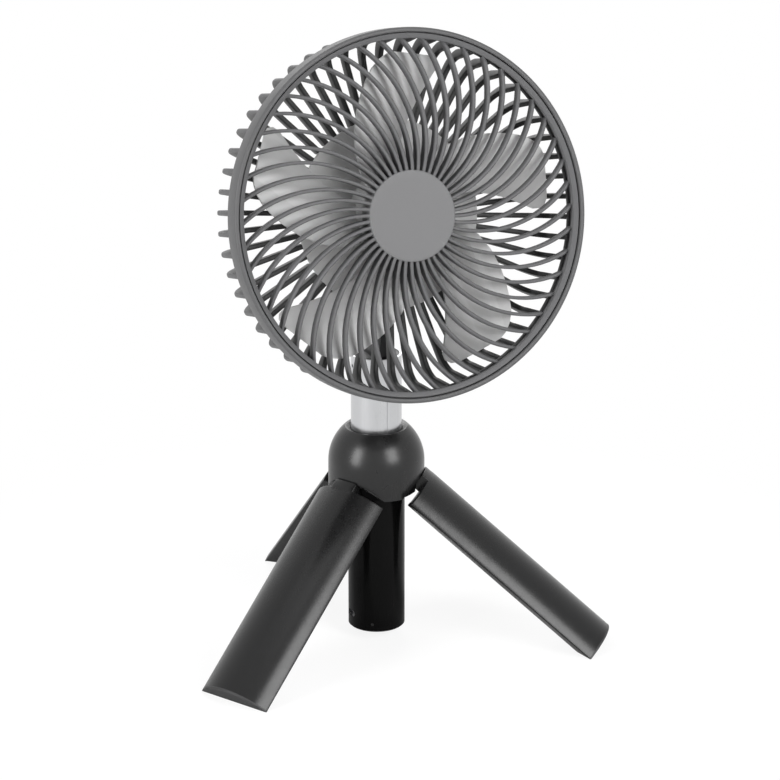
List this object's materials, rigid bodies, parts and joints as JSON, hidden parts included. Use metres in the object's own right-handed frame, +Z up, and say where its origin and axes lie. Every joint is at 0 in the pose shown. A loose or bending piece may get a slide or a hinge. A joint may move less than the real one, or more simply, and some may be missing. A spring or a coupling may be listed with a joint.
{
  "type": "portable camping fan",
  "caption": "Caged blade fan with a tilting head on a telescopic pole, standing on a battery handle with folding legs that close round it.",
  "frame": {"origin": "on the ground plane directly below the axis of the pole, level with the soles of the three feet", "axes": "+Z up along the pole axis; the fan faces -Y and looks slightly upward; +X is to the right seen from the front; the rear leg points along +Y"},
  "size_m": [0.2404, 0.215, 0.3574],
  "materials": {
    "handle_black": "satin black",
    "screw_steel": "satin",
    "screw_black": "black oxide",
    "board_green": "matte solder mask",
    "socket_steel": "satin",
    "inner_grey": "matte",
    "cell_sleeve": "gloss shrink sleeve",
    "lead_black": "matte",
    "dome_charcoal": "satin",
    "leg_charcoal": "satin, finely textured",
    "leg_inner": "matte",
    "foot_rubber": "matte",
    "pin_steel": "ground",
    "washer_nylon": "matte",
    "pole_silver": "satin anodised",
    "neck_black": "satin",
    "guard_grey": "satin, finely textured",
    "front_grey": "satin, finely textured",
    "pod_grey": "satin, finely textured",
    "blade_grey": "satin",
    "lamp_clear": "frosted",
    "button_grey": "matte",
    "motor_metal": "die-cast",
    "can_steel": "black zinc",
    "lamination": "stacked sheet",
    "copper": "enamelled wire",
    "magnet_black": "sintered"
  },
  "bodies": {
    "base": {"handle_tube": "handle_black", "base_cap": "handle_black", "base_screws": "screw_black", "charge_board": "board_green", "usb_socket": "socket_steel", "cell_cradle": "inner_grey", "battery_cell": "cell_sleeve", "cell_cap": "inner_grey", "coil_lead": "lead_black", "slide_bush": "inner_grey", "leg_carrier": "inner_grey", "dome_shell": "dome_charcoal", "dome_screws": "screw_steel", "hinge_pins": "pin_steel", "hinge_washers": "washer_nylon"},
    "left_leg": {"leg_left_shell": "leg_charcoal", "leg_left_cover": "leg_inner", "leg_left_foot": "foot_rubber"},
    "right_leg": {"leg_right_shell": "leg_charcoal", "leg_right_cover": "leg_inner", "leg_right_foot": "foot_rubber"},
    "rear_leg": {"leg_rear_shell": "leg_charcoal", "leg_rear_cover": "leg_inner", "leg_rear_foot": "foot_rubber"},
    "mast": {"pole_tube": "pole_silver", "stop_band": "inner_grey", "pole_screws": "screw_black", "neck": "neck_black", "neck_lead": "lead_black", "tilt_washers": "washer_nylon"},
    "head": {"rear_guard": "guard_grey", "front_guard": "front_grey", "pod_cover": "pod_grey", "pod_screws": "screw_black", "control_board": "board_green", "tact_switch": "inner_grey", "light_pipes": "lamp_clear", "motor_base": "motor_metal", "motor_stator": "lamination", "motor_coils": "copper", "bearing_front": "pin_steel", "bearing_rear": "pin_steel", "tilt_bolt": "screw_steel", "tilt_nut": "screw_steel"},
    "rotor": {"fan_blades": "blade_grey", "fan_nut": "screw_steel", "motor_can": "can_steel", "motor_magnets": "magnet_black", "motor_shaft": "pin_steel"},
    "button": {"power_button": "button_grey"}
  },
  "joints": [
    {"name": "left_leg_hinge", "type": "hinge", "parent": "base", "child": "left_leg", "pos_m": [-0.01689, -0.00975, 0.09763], "axis": [0.5, -0.866, 0], "range_deg": [0, 49.3]},
    {"name": "right_leg_hinge", "type": "hinge", "parent": "base", "child": "right_leg", "pos_m": [0.01689, -0.00975, 0.09763], "axis": [0.5, 0.866, 0], "range_deg": [0, 49.3]},
    {"name": "rear_leg_hinge", "type": "hinge", "parent": "base", "child": "rear_leg", "pos_m": [0, 0.0195, 0.09763], "axis": [-1, 0, 0], "range_deg": [0, 49.3]},
    {"name": "pole_slide", "type": "slide", "parent": "base", "child": "mast", "axis": [0, 0, 1], "range_m": [-0.018, 0.052], "deforming": ["coil_lead"]},
    {"name": "head_tilt", "type": "hinge", "parent": "mast", "child": "head", "pos_m": [0, 0, 0.24729], "axis": [-1, 0, 0], "range_deg": [-10, 76.5]},
    {"name": "fan_spin", "type": "hinge", "parent": "head", "child": "rotor", "pos_m": [0, -0.04376, 0.25779], "axis": [0, -0.9724, 0.2334], "continuous": true},
    {"name": "button_press", "type": "slide", "parent": "head", "child": "button", "axis": [0, -0.9724, 0.2334], "range_m": [0, 0.001], "stiffness_N_per_m": 800, "springref_m": -0.001}
  ]
}
